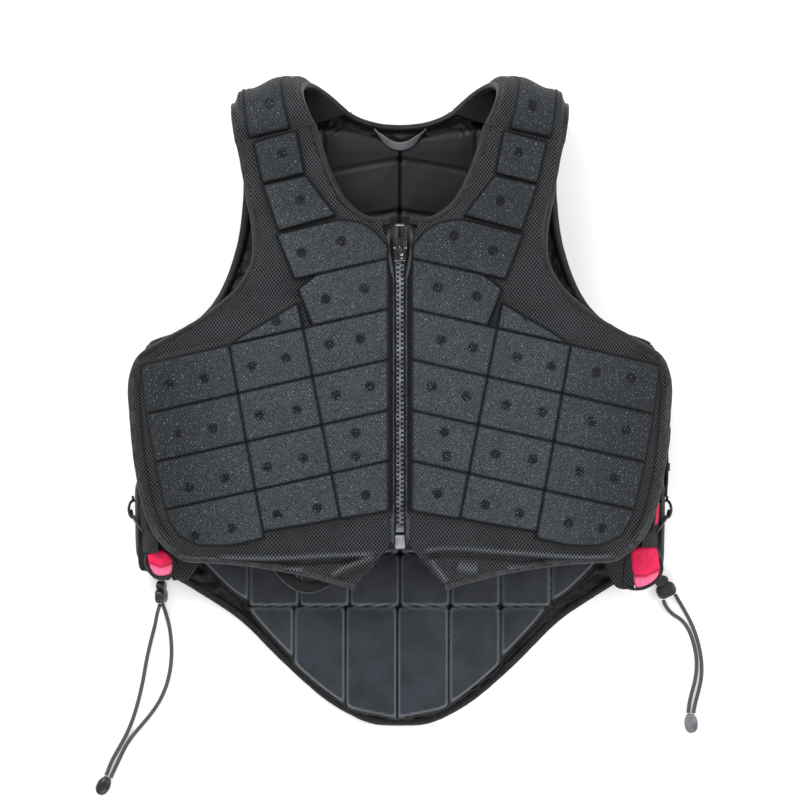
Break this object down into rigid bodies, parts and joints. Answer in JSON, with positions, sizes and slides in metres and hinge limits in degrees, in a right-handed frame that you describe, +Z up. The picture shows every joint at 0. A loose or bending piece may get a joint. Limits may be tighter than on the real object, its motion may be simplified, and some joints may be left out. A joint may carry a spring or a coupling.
{
  "type": "equestrian body protector",
  "caption": "Sleeveless padded riding vest with front zip, foam blocks under mesh, rounded tail, bound edges and side cords, lying on its back.",
  "frame": {"origin": "on the surface under the middle of the garment's box, cords and their locks and ends left out", "axes": "+X to the wearer's left, +Y from the tail to the neck, +Z up from the surface, out of the front"},
  "size_m": [0.5744, 0.6744, 0.102],
  "materials": {
    "mesh": "matt spacer mesh",
    "inner_cover": "smooth satin cover over foam",
    "binding": "satin binding tape",
    "webbing": "woven",
    "grey_ribbon": "satin ribbon",
    "pink_fabric": "smooth stretch fabric",
    "elastic_cord": "braided sheath",
    "black_plastic": "satin moulded",
    "grey_plastic": "satin moulded",
    "zip_plastic": "moulded teeth",
    "zip_metal": "satin"
  },
  "bodies": {
    "vest": {"front_panel_l": "mesh", "front_panel_r": "mesh", "shoulder_l": "mesh", "shoulder_r": "mesh", "back_panel": "inner_cover", "front_neck_binding_l": "binding", "front_neck_binding_r": "binding", "front_hem_binding_l": "binding", "front_hem_binding_r": "binding", "armhole_binding_l": "binding", "armhole_binding_r": "binding", "back_neck_binding": "binding", "back_hem_binding": "binding", "zip_tape_l": "webbing", "zip_tape_r": "webbing", "zip_chain": "zip_plastic", "zip_slider": "zip_metal", "zip_box": "zip_plastic", "side_gusset_l": "mesh", "side_gusset_r": "mesh", "waist_webbing_l": "webbing", "waist_webbing_r": "webbing", "ring_hook_l": "black_plastic", "ring_hook_r": "black_plastic", "side_tab_l": "pink_fabric", "side_tab_end_l": "mesh", "side_lace_l": "elastic_cord", "cord_lock_l": "black_plastic", "cord_l_1": "elastic_cord", "cord_l_2": "elastic_cord", "cord_end_l": "grey_plastic", "side_tab_r": "pink_fabric", "side_tab_end_r": "mesh", "side_lace_r": "elastic_cord", "cord_lock_r": "black_plastic", "cord_r_1": "elastic_cord", "cord_r_2": "elastic_cord", "cord_end_r": "black_plastic", "hem_loop": "webbing", "hanging_loop": "grey_ribbon", "neck_label": "grey_ribbon"},
    "zip_pull": {"zip_pull": "zip_metal"}
  },
  "joints": [
    {"name": "zip_pull_swing", "type": "hinge", "parent": "vest", "child": "zip_pull", "pos_m": [0, 0.14, 0.0955], "axis": [1, 0, 0], "range_deg": [0, 170]}
  ]
}
